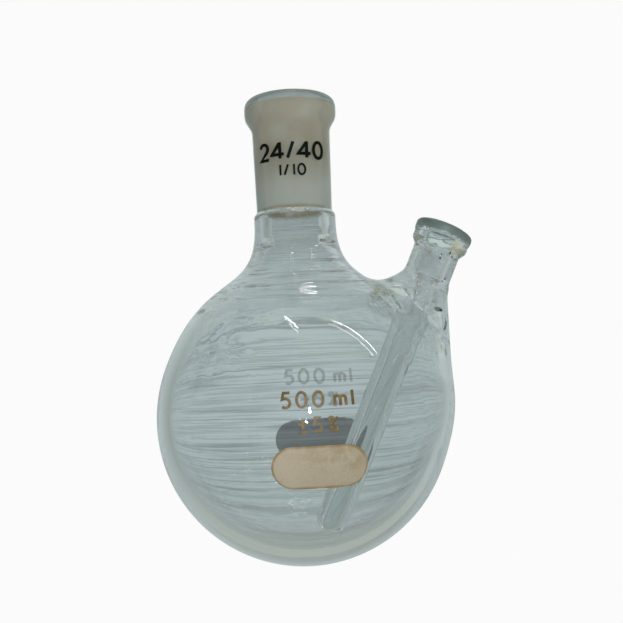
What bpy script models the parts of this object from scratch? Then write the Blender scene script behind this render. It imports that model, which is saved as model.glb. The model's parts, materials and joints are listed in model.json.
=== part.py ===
"""Two-neck round-bottom boiling flask with a thermometer well sealed into its side neck.

Units are metres and +Z is up. The origin is the lowest point of the bulb, on the axis of
the upright neck. The side neck leans towards +X, in the XZ plane.
"""

import math

import bmesh
import bpy
from mathutils import Matrix, Vector

MM = 0.001

# Bulb and its shoulder
BULB_RADIUS = 52.5 * MM
BULB_WALL = 4.0 * MM
SHOULDER_LATITUDE = math.radians(22.2)  # where the shoulder leaves the sphere
SHOULDER_PULL = 38.4 * MM  # length of the shoulder curve's handle on the sphere
NECK_PULL = 27.3 * MM  # length of its handle on the neck
NECK_MEETS_SHOULDER = 17.5 * MM  # height of the shoulder curve above the top of the sphere
SEAM_RISE = 6.5 * MM  # height of the seam between bulb and neck tube above the top of the sphere

# Upright neck and its 24/40 ground joint
NECK_RADIUS = 14.85 * MM
NECK_LENGTH = 13.9 * MM
NECK_BORE_FLARE = 5.0 * MM  # height over which the bore opens towards the bulb
GROUND_TOP_RADIUS = 12.0 * MM
GROUND_LENGTH = 40.0 * MM
GROUND_TAPER = 1.0 / 20.0  # change of radius per length, a taper of 1 in 10 on the diameter
JOINT_FOOT_WALL = 3.7 * MM
JOINT_WAIST_WALL = 2.75 * MM
JOINT_RIM_WALL = 4.8 * MM
JOINT_RIM_HEIGHT = 10.0 * MM  # part of the joint over which the rim swells out
JOINT_RIM_BAND = 3.0 * MM
LIP_HEIGHT = 3.2 * MM
LIP_BEVEL = 1.0 * MM  # from the bore to the flat
LIP_FLAT_WIDTH = 2.2 * MM
LIP_EDGE_HEIGHT = 0.9 * MM  # upright edge of the lip, below its rounding

# Side neck, measured along its own axis from its mouth
SIDE_TILT = math.radians(24.0)
SIDE_FOOT_LATITUDE = math.radians(44.66)  # where the side neck's axis leaves the boss
SIDE_FOOT_RISE = 11.75 * MM  # height of that point above the sphere
SIDE_RADIUS = 8.5 * MM
SIDE_BORE_RADIUS = 4.2 * MM
SIDE_RIM_RADIUS = 10.6 * MM
SIDE_RIM_BORE_RADIUS = 5.6 * MM
SIDE_LIP_HEIGHT = 2.2 * MM
SIDE_LIP_FLAT_WIDTH = 2.4 * MM
SIDE_LIP_BEVEL = 1.25 * MM  # from the bore to the flat
SIDE_LIP_ROUNDING = 1.3 * MM  # height of the rounding outside the flat
SIDE_COLLAR_LENGTH = 5.6 * MM
SIDE_COLLAR_BAND = 3.4 * MM
SIDE_NECK_LENGTH = 10.0 * MM
SEAL_RADIUS = 8.9 * MM
SEAL_THICKNESS = 2.6 * MM

# Side boss, pulled out of the bulb under the side neck
BOSS_RADIUS = 9.0 * MM
BOSS_END_WALL = 2.6 * MM  # thickness of the boss's end, round the thermometer well
BOSS_STAND_OUT = 1.5 * MM  # how far the boss stands out from the bulb's widest part
BOSS_WAIST_RADIUS = 34.0 * MM
BOSS_WAIST_DROP = -7.5 * MM  # boss's widest section, below the bulb's centre
BOSS_FOOT_DROP = 12.5 * MM  # where the boss has died into the bulb, below its centre
BOSS_FOOT_SINK = 0.5 * MM
BOSS_WEB_DROP = 1.0 * MM  # where the boss meets the shoulder, below the top of the sphere
BOSS_WEB_WALL = 5.5 * MM  # height of the wall there
BOSS_WEB_INSET = 8.0 * MM  # how far the boss's hollow stays inside the shoulder there
BOSS_ROOF_MARGIN = 0.5 * MM  # how far the hollow's roof reaches past the bore for the well

# Thermometer well
WELL_RADIUS = 5.8 * MM
WELL_BORE_RADIUS = 3.2 * MM
WELL_TIP_CLEARANCE = 5.7 * MM  # from the tip to the bulb's inner wall, along the well
WELL_TIP_WALL = 2.0 * MM

# Fired enamel marks
ENAMEL = 0.25 * MM
PATCH_WIDTH = 30.0 * MM
PATCH_HEIGHT = 13.6 * MM
PATCH_LATITUDE = math.radians(-14.2)
MARK_LONGITUDE = math.radians(5.6)  # round the upright axis from -Y towards +X
VOLUME_HEIGHT = 5.4 * MM
VOLUME_LATITUDE = math.radians(8.6)
TOLERANCE_HEIGHT = 5.0 * MM
TOLERANCE_LATITUDE = math.radians(0.2)
SIZE_HEIGHT = 6.8 * MM
SIZE_RISE = 21.2 * MM  # middle of the joint's size mark above the foot of the ground zone
TAPER_HEIGHT = 4.4 * MM
TAPER_RISE = 14.2 * MM
# Spaces between the signs of each mark, as shares of its height
VOLUME_SPACE = 0.22
TOLERANCE_SPACE = 0.25
SIZE_SPACE = 0.09
TAPER_SPACE = 0.16
STROKE_SHARE = 0.16  # width of a stroke, as a share of the height of its mark
STROKE_STEP = 0.03 * MM  # each further stroke of a sign is this much deeper and higher

# Clearance between neighbouring pieces
GAP = 0.3 * MM

BULB_SEGMENTS = 64
TUBE_SEGMENTS = 40
WELL_SEGMENTS = 28
ARC_STEPS = 14
SHOULDER_STEPS = 9
NECK_STEPS = 4
ROUNDING_STEPS = 5
TANGENT_STEP = 0.01  # share of the shoulder's curve over which its direction is taken
SHARP_ANGLE = math.radians(40)

# Heights that follow from the sizes above
BULB_TOP = 2 * BULB_RADIUS
SEAM_Z = BULB_TOP + SEAM_RISE
NECK_TOP = SEAM_Z + NECK_LENGTH
GROUND_FOOT = NECK_TOP
GROUND_TOP = GROUND_FOOT + GROUND_LENGTH
FLASK_TOP = GROUND_TOP + LIP_HEIGHT
GROUND_FOOT_RADIUS = GROUND_TOP_RADIUS - GROUND_LENGTH * GROUND_TAPER
JOINT_FOOT_RADIUS = GROUND_FOOT_RADIUS + JOINT_FOOT_WALL
JOINT_WAIST_RADIUS = GROUND_TOP_RADIUS - JOINT_RIM_HEIGHT * GROUND_TAPER + JOINT_WAIST_WALL
JOINT_RIM_RADIUS = GROUND_TOP_RADIUS + JOINT_RIM_WALL
LIP_FLAT_INNER = GROUND_TOP_RADIUS + LIP_BEVEL
LIP_FLAT_OUTER = LIP_FLAT_INNER + LIP_FLAT_WIDTH

# Distances from the side neck's mouth that follow from the sizes above
SIDE_COLLAR_START = SIDE_LIP_HEIGHT
SIDE_NECK_START = SIDE_COLLAR_START + SIDE_COLLAR_LENGTH
SEAL_START = SIDE_NECK_START + SIDE_NECK_LENGTH
BOSS_START = SEAL_START + SEAL_THICKNESS

# The side neck's place, worked out from where its axis leaves the boss
BULB_CENTRE = Vector((0.0, 0.0, BULB_RADIUS))
SIDE_AXIS = Vector((math.sin(SIDE_TILT), 0.0, math.cos(SIDE_TILT)))
SIDE_FOOT_SPOKE = Vector((math.cos(SIDE_FOOT_LATITUDE), 0.0, math.sin(SIDE_FOOT_LATITUDE)))
SIDE_FOOT = BULB_CENTRE + (BULB_RADIUS + SIDE_FOOT_RISE) * SIDE_FOOT_SPOKE
SIDE_MOUTH = SIDE_FOOT + BOSS_START * SIDE_AXIS
BOSS_CENTRE_X = BULB_RADIUS + BOSS_STAND_OUT - BOSS_WAIST_RADIUS

# The well's depth from the mouth: to the bulb's inner wall, less the clearance
WELL_OFFSET = (SIDE_MOUTH - BULB_CENTRE).cross(SIDE_AXIS).length
WELL_CHORD = math.sqrt((BULB_RADIUS - BULB_WALL) ** 2 - WELL_OFFSET**2)
WELL_DEPTH = (SIDE_MOUTH - BULB_CENTRE).dot(SIDE_AXIS) + WELL_CHORD - WELL_TIP_CLEARANCE

# Finishes, each a colour and a roughness
GLASS = ((0.62, 0.68, 0.66, 1.0), 0.02)
FROSTED_GLASS = ((0.60, 0.57, 0.50, 1.0), 0.5)
BROWN_ENAMEL = ((0.22, 0.12, 0.04, 1.0), 0.35)
CREAM_ENAMEL = ((0.58, 0.45, 0.30, 1.0), 0.6)
BLACK_ENAMEL = ((0.01, 0.01, 0.01, 1.0), 0.35)


def clear_scene():
    for item in list(bpy.data.objects):
        bpy.data.objects.remove(item, do_unlink=True)


def material(name, finish):
    colour, roughness = finish
    made = bpy.data.materials.new(name)
    made.use_nodes = True
    shader = made.node_tree.nodes["Principled BSDF"]
    shader.inputs["Base Color"].default_value = colour
    shader.inputs["Roughness"].default_value = roughness
    shader.inputs["Metallic"].default_value = 0.0
    made.diffuse_color = colour
    return made


def place(name, bm, finish, smooth=True):
    """Turn a bmesh into the scene's object of that name."""
    bmesh.ops.recalc_face_normals(bm, faces=bm.faces)
    mesh = bpy.data.meshes.new(name)
    bm.to_mesh(mesh)
    bm.free()
    if smooth:
        mesh.shade_smooth()
        mesh.set_sharp_from_angle(angle=SHARP_ANGLE)
    made = bpy.data.objects.new(name, mesh)
    made.data.materials.append(material(name + "_finish", finish))
    bpy.context.scene.collection.objects.link(made)
    return made


def turned(outline, segments, closed=True):
    """Turn an outline of (radius, height) points round the Z axis."""
    bm = bmesh.new()
    verts = [bm.verts.new((radius, 0.0, height)) for radius, height in outline]
    edges = [bm.edges.new(pair) for pair in zip(verts, verts[1:])]
    if closed:
        edges.append(bm.edges.new((verts[-1], verts[0])))
    bmesh.ops.spin(
        bm,
        geom=verts + edges,
        cent=(0, 0, 0),
        axis=(0, 0, 1),
        dvec=(0, 0, 0),
        angle=2 * math.pi,
        steps=segments,
        use_merge=True,
        use_duplicate=False,
    )
    bmesh.ops.remove_doubles(bm, verts=bm.verts, dist=0.001 * MM)
    return bm


def arc(centre_r, centre_z, radius, start, end, steps):
    """Points on an arc, with angles in degrees from the outward direction."""
    points = []
    for step in range(steps + 1):
        angle = math.radians(start + (end - start) * step / steps)
        points.append((centre_r + radius * math.cos(angle), centre_z + radius * math.sin(angle)))
    return points


# The bulb's outline -------------------------------------------------------------------------


def shoulder_point(t):
    """A point of the shoulder's curve, from the sphere at t = 0 to the neck at t = 1."""
    centre = Vector((0.0, BULB_RADIUS))
    out = Vector((math.cos(SHOULDER_LATITUDE), math.sin(SHOULDER_LATITUDE)))
    along = Vector((-out.y, out.x))
    start = centre + BULB_RADIUS * out
    end = Vector((NECK_RADIUS, BULB_TOP + NECK_MEETS_SHOULDER))
    leave = start + SHOULDER_PULL * along
    arrive = end - Vector((0.0, NECK_PULL))
    s = 1.0 - t
    return s**3 * start + 3 * s * s * t * leave + 3 * s * t * t * arrive + t**3 * end


def shoulder_share(height):
    """Where on the shoulder's curve a height lies, found by halving the curve."""
    low, high = 0.0, 1.0
    for _ in range(40):
        middle = (low + high) / 2
        if shoulder_point(middle).y < height:
            low = middle
        else:
            high = middle
    return low


def shoulder_radius(height):
    return shoulder_point(shoulder_share(height)).x


def outer_points():
    """The bulb's outer outline, from the bottom of the sphere up to the seam."""
    latitude = math.degrees(SHOULDER_LATITUDE)
    points = arc(0.0, BULB_RADIUS, BULB_RADIUS, -90.0, latitude, ARC_STEPS)
    points[0] = (0.0, 0.0)
    last = shoulder_share(SEAM_Z)
    for step in range(1, SHOULDER_STEPS + 1):
        points.append(tuple(shoulder_point(last * step / SHOULDER_STEPS)))
    return points


def inner_shoulder_points():
    """The shoulder's inner outline: its outer curve moved inwards by the wall."""
    points = []
    last = shoulder_share(SEAM_Z)
    for step in range(1, SHOULDER_STEPS):
        t = last * step / SHOULDER_STEPS
        along = (shoulder_point(t + TANGENT_STEP) - shoulder_point(t - TANGENT_STEP)).normalized()
        points.append(tuple(shoulder_point(t) + BULB_WALL * Vector((-along.y, along.x))))
    return points


def seam_bore_radius():
    return shoulder_radius(SEAM_Z) - BULB_WALL


def bulb_hollow_outline():
    latitude = math.degrees(SHOULDER_LATITUDE)
    points = arc(0.0, BULB_RADIUS, BULB_RADIUS - BULB_WALL, -90.0, latitude, ARC_STEPS)
    points[0] = (0.0, BULB_WALL)
    points += inner_shoulder_points()
    points.append((seam_bore_radius(), SEAM_Z))
    points.append((seam_bore_radius(), SEAM_Z + BULB_WALL))
    points.append((0.0, SEAM_Z + BULB_WALL))
    return points


# The side neck's frame ----------------------------------------------------------------------


def side_point(distance):
    """The point of the side neck's axis at a distance below its mouth."""
    return SIDE_MOUTH - distance * SIDE_AXIS


def on_side_neck(bm):
    """Move a piece turned round Z, with its mouth at height 0, onto the side neck's axis."""
    matrix = Matrix.Translation(side_point(0.0)) @ Matrix.Rotation(SIDE_TILT, 4, "Y")
    bmesh.ops.transform(bm, matrix=matrix, verts=bm.verts)
    return bm


def side_turned(outline, segments=TUBE_SEGMENTS, closed=True):
    """Turn an outline of (radius, distance below the mouth) points round the side neck's axis."""
    points = [(radius, -distance) for radius, distance in outline]
    return on_side_neck(turned(points, segments, closed))


# Bulb and boss ------------------------------------------------------------------------------


def ring_points(centre, radius, tilt=0.0):
    """Points of a circle, level unless it is tilted about Y."""
    turn = Matrix.Rotation(tilt, 3, "Y")
    points = []
    for step in range(TUBE_SEGMENTS):
        angle = 2 * math.pi * step / TUBE_SEGMENTS
        spoke = Vector((math.cos(angle), math.sin(angle), 0.0))
        points.append(centre + turn @ (radius * spoke))
    return points


def boss_body(mouth_radius, mouth_distance, inset, web_z, web_inset):
    """The hull that joins the side neck's foot to the shoulder and the side of the bulb."""
    waist_z = BULB_RADIUS - BOSS_WAIST_DROP
    foot_z = BULB_RADIUS - BOSS_FOOT_DROP
    waist_radius = BOSS_WAIST_RADIUS - inset
    foot_side = math.sqrt((BULB_RADIUS - inset) ** 2 - BOSS_FOOT_DROP**2)
    foot_radius = foot_side - BOSS_FOOT_SINK - BOSS_CENTRE_X
    points = ring_points(side_point(mouth_distance), mouth_radius, SIDE_TILT)
    points += ring_points(Vector((BOSS_CENTRE_X, 0.0, waist_z)), waist_radius)
    points += ring_points(Vector((BOSS_CENTRE_X, 0.0, foot_z)), foot_radius)
    points += ring_points(Vector((0.0, 0.0, web_z)), shoulder_radius(web_z) - web_inset)
    bm = bmesh.new()
    for point in points:
        bm.verts.new(point)
    hull = bmesh.ops.convex_hull(bm, input=bm.verts)
    loose = [item for item in hull["geom_interior"] if isinstance(item, bmesh.types.BMVert)]
    bmesh.ops.delete(bm, geom=list(set(loose)), context="VERTS")
    return bm


def cutter(name, bm):
    made = place(name, bm, GLASS)
    made.hide_render = True
    made.display_type = "WIRE"
    return made


def boolean(target, tool, operation):
    modifier = target.modifiers.new(tool.name, "BOOLEAN")
    modifier.operation = operation
    modifier.solver = "EXACT"
    modifier.object = tool


def bulb():
    outline = outer_points()
    outline.append((0.0, SEAM_Z))
    body = place("bulb", turned(outline, BULB_SEGMENTS, closed=False), GLASS)
    web_z = BULB_TOP - BOSS_WEB_DROP
    boss = boss_body(BOSS_RADIUS, BOSS_START, 0.0, web_z, BOSS_FOOT_SINK)
    hollow = turned(bulb_hollow_outline(), BULB_SEGMENTS, closed=False)
    bore = WELL_RADIUS + GAP
    boss_floor = BOSS_START + BOSS_END_WALL
    hollow_web_z = web_z - BOSS_WEB_WALL
    roof = bore + BOSS_ROOF_MARGIN
    boss_hollow = boss_body(roof, boss_floor, BULB_WALL, hollow_web_z, BOSS_WEB_INSET)
    bore_end = boss_floor + BOSS_END_WALL
    bore_outline = [(0.0, SEAL_START), (bore, SEAL_START), (bore, bore_end), (0.0, bore_end)]
    boolean(body, cutter("boss_shape", boss), "UNION")
    boolean(body, cutter("bulb_hollow", hollow), "DIFFERENCE")
    boolean(body, cutter("boss_hollow", boss_hollow), "DIFFERENCE")
    boolean(body, cutter("well_bore", side_turned(bore_outline, closed=False)), "DIFFERENCE")


# Upright neck -------------------------------------------------------------------------------


def neck_tube():
    foot = SEAM_Z + GAP
    outline = [(seam_bore_radius(), foot), (shoulder_radius(foot), foot)]
    rise = BULB_TOP + NECK_MEETS_SHOULDER - foot
    for step in range(1, NECK_STEPS):
        share = step / NECK_STEPS
        outline.append((shoulder_radius(foot + share * rise), foot + share * rise))
    outline.append((NECK_RADIUS, NECK_TOP))
    outline.append((GROUND_FOOT_RADIUS, NECK_TOP))
    opening = seam_bore_radius() - GROUND_FOOT_RADIUS
    for step in range(NECK_STEPS, 0, -1):
        share = step / NECK_STEPS
        radius = GROUND_FOOT_RADIUS + opening * (1 - math.sin(share * math.pi / 2))
        outline.append((radius, foot + share * NECK_BORE_FLARE))
    place("neck_tube", turned(outline, TUBE_SEGMENTS), GLASS)


def ground_radius(height):
    return GROUND_TOP_RADIUS - (GROUND_TOP - height) * GROUND_TAPER


def ground_joint():
    foot = GROUND_FOOT + GAP
    waist = GROUND_TOP - JOINT_RIM_HEIGHT
    band = GROUND_TOP - JOINT_RIM_BAND
    outline = [(ground_radius(foot), foot), (JOINT_FOOT_RADIUS, foot), (JOINT_WAIST_RADIUS, waist)]
    swell = JOINT_RIM_RADIUS - JOINT_WAIST_RADIUS
    for step in range(1, ROUNDING_STEPS + 1):
        share = step / ROUNDING_STEPS
        radius = JOINT_WAIST_RADIUS + swell * (1 - math.cos(share * math.pi)) / 2
        outline.append((radius, waist + share * (band - waist)))
    outline.append((JOINT_RIM_RADIUS, GROUND_TOP))
    outline.append((ground_radius(GROUND_TOP), GROUND_TOP))
    place("ground_joint", turned(outline, TUBE_SEGMENTS), FROSTED_GLASS)


def joint_lip():
    foot = GROUND_TOP + GAP
    edge = foot + LIP_EDGE_HEIGHT
    outline = [(GROUND_TOP_RADIUS, foot), (JOINT_RIM_RADIUS, foot), (JOINT_RIM_RADIUS, edge)]
    for step in range(1, ROUNDING_STEPS + 1):
        angle = math.pi / 2 * step / ROUNDING_STEPS
        radius = LIP_FLAT_OUTER + (JOINT_RIM_RADIUS - LIP_FLAT_OUTER) * math.cos(angle)
        outline.append((radius, edge + (FLASK_TOP - edge) * math.sin(angle)))
    outline.append((LIP_FLAT_INNER, FLASK_TOP))
    outline.append((GROUND_TOP_RADIUS, FLASK_TOP - (LIP_FLAT_INNER - GROUND_TOP_RADIUS)))
    place("joint_lip", turned(outline, TUBE_SEGMENTS), GLASS)


# Side neck and thermometer well -------------------------------------------------------------


def side_lip():
    flat_inner = SIDE_RIM_BORE_RADIUS + SIDE_LIP_BEVEL
    flat_outer = flat_inner + SIDE_LIP_FLAT_WIDTH
    end = SIDE_LIP_HEIGHT - GAP
    outline = [(flat_inner, 0.0), (flat_outer, 0.0)]
    for step in range(1, ROUNDING_STEPS + 1):
        angle = math.pi / 2 * step / ROUNDING_STEPS
        radius = flat_outer + (SIDE_RIM_RADIUS - flat_outer) * math.sin(angle)
        outline.append((radius, SIDE_LIP_ROUNDING * (1 - math.cos(angle))))
    outline.append((SIDE_RIM_RADIUS, end))
    outline.append((SIDE_RIM_BORE_RADIUS, end))
    outline.append((SIDE_RIM_BORE_RADIUS, SIDE_LIP_BEVEL))
    place("side_lip", side_turned(outline), GLASS)


def side_collar():
    start = SIDE_COLLAR_START
    end = SIDE_NECK_START - GAP
    band = start + SIDE_COLLAR_BAND
    rim = SIDE_RIM_RADIUS - GAP
    outline = [(SIDE_RIM_BORE_RADIUS, start), (rim, start), (rim, band)]
    outline.append(((rim + SIDE_RADIUS) / 2, (band + end) / 2))
    outline.append((SIDE_RADIUS, end))
    outline.append((SIDE_BORE_RADIUS, end))
    outline.append((SIDE_BORE_RADIUS, band))
    place("side_collar", side_turned(outline), GLASS)


def side_neck():
    start = SIDE_NECK_START
    end = SEAL_START - GAP
    outline = [
        (SIDE_BORE_RADIUS, start),
        (SIDE_RADIUS, start),
        (SIDE_RADIUS, end),
        (SIDE_BORE_RADIUS, end),
    ]
    place("side_neck", side_turned(outline), GLASS)


def ring_seal():
    start = SEAL_START
    end = BOSS_START - GAP
    middle = (start + end) / 2
    outline = [(WELL_BORE_RADIUS, start), (SIDE_RADIUS, start), (SEAL_RADIUS, middle)]
    outline.append((SIDE_RADIUS, end))
    outline.append((WELL_BORE_RADIUS, end))
    place("ring_seal", side_turned(outline), GLASS)


def thermometer_well():
    start = BOSS_START
    tip_centre = WELL_DEPTH - WELL_RADIUS
    bore_centre = WELL_DEPTH - WELL_TIP_WALL - WELL_BORE_RADIUS
    outline = [(WELL_RADIUS, start)]
    for radius, distance in arc(0.0, tip_centre, WELL_RADIUS, 0.0, 90.0, 7)[:-1]:
        outline.append((radius, distance))
    outline.append((0.0, WELL_DEPTH))
    outline.append((0.0, WELL_DEPTH - WELL_TIP_WALL))
    for radius, distance in arc(0.0, bore_centre, WELL_BORE_RADIUS, 90.0, 0.0, 6)[1:]:
        outline.append((radius, distance))
    outline.append((WELL_BORE_RADIUS, start))
    place("thermometer_well", side_turned(outline, WELL_SEGMENTS), GLASS)


# Enamel marks -------------------------------------------------------------------------------


def bulb_place(latitude, lift):
    """A map from flat (across, up) places to points on the bulb, lift above its surface."""

    def to_bulb(across, up, depth):
        tall = latitude + up / BULB_RADIUS
        round_axis = MARK_LONGITUDE + across / (BULB_RADIUS * math.cos(latitude))
        reach = BULB_RADIUS + lift + depth
        level = reach * math.cos(tall)
        height = BULB_RADIUS + reach * math.sin(tall)
        return Vector((level * math.sin(round_axis), -level * math.cos(round_axis), height))

    return to_bulb


def joint_outer_radius(height):
    """The outer radius of the joint's plain part at a height."""
    waist = GROUND_TOP - JOINT_RIM_HEIGHT
    share = (height - GROUND_FOOT - GAP) / (waist - GROUND_FOOT - GAP)
    return JOINT_FOOT_RADIUS + share * (JOINT_WAIST_RADIUS - JOINT_FOOT_RADIUS)


def joint_place(rise, lift):
    """A map from flat (across, up) places to points on the ground joint."""

    def to_joint(across, up, depth):
        height = GROUND_FOOT + rise + up
        reach = joint_outer_radius(height) + lift + depth
        angle = across / joint_outer_radius(GROUND_FOOT + rise)
        return Vector((reach * math.sin(angle), -reach * math.cos(angle), height))

    return to_joint


def strip(path, width, closed=False):
    """A flat stroke along a path: pairs of edge points, with square ends."""
    count = len(path)
    pairs = []
    for index, here in enumerate(path):
        before = path[index - 1] if index or closed else here
        after = path[(index + 1) % count] if index < count - 1 or closed else here
        into = (here - before).normalized() if here != before else (after - here).normalized()
        away = (after - here).normalized() if after != here else into
        across = (into + away).normalized()
        side = Vector((-across.y, across.x))
        reach = width / 2 / max(0.5, side.dot(Vector((-into.y, into.x))))
        pairs.append((here + reach * side, here - reach * side))
    return pairs


def stroke_body(path, width, closed, to_surface, step):
    """The closed body of one stroke, laid on a curved surface."""
    bm = bmesh.new()
    rows = []
    low, high = -step, ENAMEL + step
    for left, right in strip(path, width, closed):
        corners = ((left, low), (right, low), (right, high), (left, high))
        rows.append([bm.verts.new(to_surface(p.x, p.y, depth)) for p, depth in corners])
    joins = list(zip(rows, rows[1:]))
    if closed:
        joins.append((rows[-1], rows[0]))
    for here, there in joins:
        for side in range(4):
            after = (side + 1) % 4
            bm.faces.new((here[side], here[after], there[after], there[side]))
    if not closed:
        bm.faces.new(rows[0])
        bm.faces.new(rows[-1])
    return bm


def bend(centre_x, centre_y, radius_x, radius_y, start, end, steps):
    """Points of an elliptical bend, with angles in degrees."""
    points = []
    for step in range(steps + 1):
        angle = math.radians(start + (end - start) * step / steps)
        x = centre_x + radius_x * math.cos(angle)
        points.append(Vector((x, centre_y + radius_y * math.sin(angle))))
    return points


def straight(*places):
    return [Vector(place_) for place_ in places]


def sign_strokes(kind):
    """A sign's strokes in a box 1 high, with its width: (width, [(path, closed), ...])."""
    edge = STROKE_SHARE / 2
    top = 1.0 - edge
    if kind == "0":
        return 0.72, [(bend(0.36, 0.5, 0.36 - edge, 0.5 - edge, 0, 360, 20)[:-1], True)]
    if kind == "1":
        return 0.30, [(straight((0.22, edge), (0.22, top)), False)]
    if kind == "2":
        path = bend(0.32, top - 0.26, 0.25, 0.26, 165, -40, 8)
        path += straight((edge, edge), (0.60, edge))
        return 0.64, [(path, False)]
    if kind == "4":
        return 0.74, [
            (straight((0.52, edge), (0.52, top)), False),
            (straight((0.50, top - 0.05), (edge, 0.30), (0.72, 0.30)), False),
        ]
    if kind == "5":
        path = straight((0.56, top), (0.20, top), (0.13, 0.56))
        path += bend(0.30, 0.34, 0.27, 0.26, 110, -130, 9)
        return 0.64, [(path, False)]
    if kind == "/":
        return 0.46, [(straight((edge, edge), (0.46 - edge, top)), False)]
    if kind == "l":
        return 0.22, [(straight((0.11, edge), (0.11, top)), False)]
    if kind == "m":
        low = 0.66
        first = straight((edge + 0.32, edge)) + bend(edge + 0.16, low - 0.20, 0.16, 0.16, 0, 145, 6)
        second = straight((edge + 0.64, edge)) + bend(edge + 0.48, low - 0.20, 0.16, 0.16, 0, 145, 6)
        return 0.80, [
            (straight((edge, edge), (edge, low)), False),
            (first, False),
            (second, False),
        ]
    if kind == "+":
        return 0.60, [
            (straight((0.30, 0.28), (0.30, 0.84)), False),
            (straight((0.02, 0.56), (0.58, 0.56)), False),
        ]
    if kind == "_":
        return 0.60, [(straight((0.02, edge), (0.58, edge)), False)]
    return 0.80, [
        (straight((0.13, edge), (0.67, top)), False),
        (bend(0.29, 0.78, 0.14, 0.14, 0, 360, 10)[:-1], True),
        (bend(0.51, 0.22, 0.14, 0.14, 0, 360, 10)[:-1], True),
    ]


def sign(name, kind, left, height, to_surface, finish):
    """One enamel sign. Its strokes are joined into one body."""
    _, strokes = sign_strokes(kind)
    width = STROKE_SHARE * height
    bodies = []
    for index, (path, closed) in enumerate(strokes):
        moved = [Vector((left + height * p.x, height * (p.y - 0.5))) for p in path]
        bodies.append(stroke_body(moved, width, closed, to_surface, index * STROKE_STEP))
    first = place(name, bodies[0], finish, smooth=False)
    for index, body in enumerate(bodies[1:]):
        boolean(first, cutter(f"{name}_stroke_{index}", body), "UNION")


def row_of_signs(signs, height, space, to_surface, finish):
    """A row of signs centred on its mark's middle."""
    widths = [sign_strokes(kind)[0] * height for _, kind, _ in signs]
    total = sum(widths) + sum(after for _, _, after in signs[:-1]) * height
    total += space * height * (len(signs) - 1)
    left = -total / 2
    for (name, kind, after), width in zip(signs, widths):
        sign(name, kind, left, height, to_surface, finish)
        left += width + (space + after) * height


def writing_patch():
    """A field of enamel with round ends, for pencil notes."""
    to_bulb = bulb_place(PATCH_LATITUDE, GAP)
    radius = PATCH_HEIGHT / 2
    reach = PATCH_WIDTH / 2 - radius
    columns = [-reach + 2 * reach * step / 10 for step in range(11)]
    left = [-reach - radius * math.sin(math.radians(15 * step)) for step in range(6, 0, -1)]
    right = [-place_ for place_ in reversed(left)]
    across = left + columns + right
    bm = bmesh.new()
    grid = []
    for depth in (0.0, ENAMEL):
        sheet = []
        for x in across:
            past = max(0.0, abs(x) - reach)
            half = math.sqrt(max(0.0, radius**2 - past**2))
            shares = (-1.0, -0.5, 0.0, 0.5, 1.0)
            sheet.append([bm.verts.new(to_bulb(x, half * share, depth)) for share in shares])
        grid.append(sheet)
    for sheet in grid:
        for here, there in zip(sheet, sheet[1:]):
            for low in range(4):
                bm.faces.new((here[low], here[low + 1], there[low + 1], there[low]))
    for row in (0, 4):
        for column in range(len(across) - 1):
            near, far = grid[0], grid[1]
            bm.faces.new((near[column][row], near[column + 1][row], far[column + 1][row], far[column][row]))
    bmesh.ops.remove_doubles(bm, verts=bm.verts, dist=0.001 * MM)
    place("writing_patch", bm, CREAM_ENAMEL)


def marks():
    volume = (
        ("volume_5", "5", 0.0),
        ("volume_0a", "0", 0.0),
        ("volume_0b", "0", 0.28),
        ("volume_m", "m", 0.0),
        ("volume_l", "l", 0.0),
    )
    on_volume = bulb_place(VOLUME_LATITUDE, GAP)
    row_of_signs(volume, VOLUME_HEIGHT, VOLUME_SPACE, on_volume, BROWN_ENAMEL)
    tolerance = (
        ("tolerance_plus", "+", -0.85),
        ("tolerance_minus", "_", 0.0),
        ("tolerance_5", "5", 0.0),
        ("tolerance_percent", "%", 0.0),
    )
    on_tolerance = bulb_place(TOLERANCE_LATITUDE, GAP)
    row_of_signs(tolerance, TOLERANCE_HEIGHT, TOLERANCE_SPACE, on_tolerance, BROWN_ENAMEL)
    size = (
        ("size_2", "2", 0.0),
        ("size_4a", "4", 0.0),
        ("size_slash", "/", 0.0),
        ("size_4b", "4", 0.0),
        ("size_0", "0", 0.0),
    )
    row_of_signs(size, SIZE_HEIGHT, SIZE_SPACE, joint_place(SIZE_RISE, GAP), BLACK_ENAMEL)
    taper = (
        ("taper_1a", "1", 0.0),
        ("taper_slash", "/", 0.0),
        ("taper_1b", "1", 0.0),
        ("taper_0", "0", 0.0),
    )
    row_of_signs(taper, TAPER_HEIGHT, TAPER_SPACE, joint_place(TAPER_RISE, GAP), BLACK_ENAMEL)


def main():
    clear_scene()
    bulb()
    neck_tube()
    ground_joint()
    joint_lip()
    side_lip()
    side_collar()
    side_neck()
    ring_seal()
    thermometer_well()
    writing_patch()
    marks()


main()
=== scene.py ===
"""Looks of a two-neck boiling flask: fused glass, ground joint, fired marks and a plain stage.

Lengths are metres and +Z is up. The glass is modelled as one smooth closed surface, from a field
that is negative inside the wall, because the real flask is one fused piece.
"""

import json
import math

import bmesh
import bpy
import numpy as np
from bpy.props import FloatProperty, FloatVectorProperty, PointerProperty
from mathutils import Euler, Matrix, Vector


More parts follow.
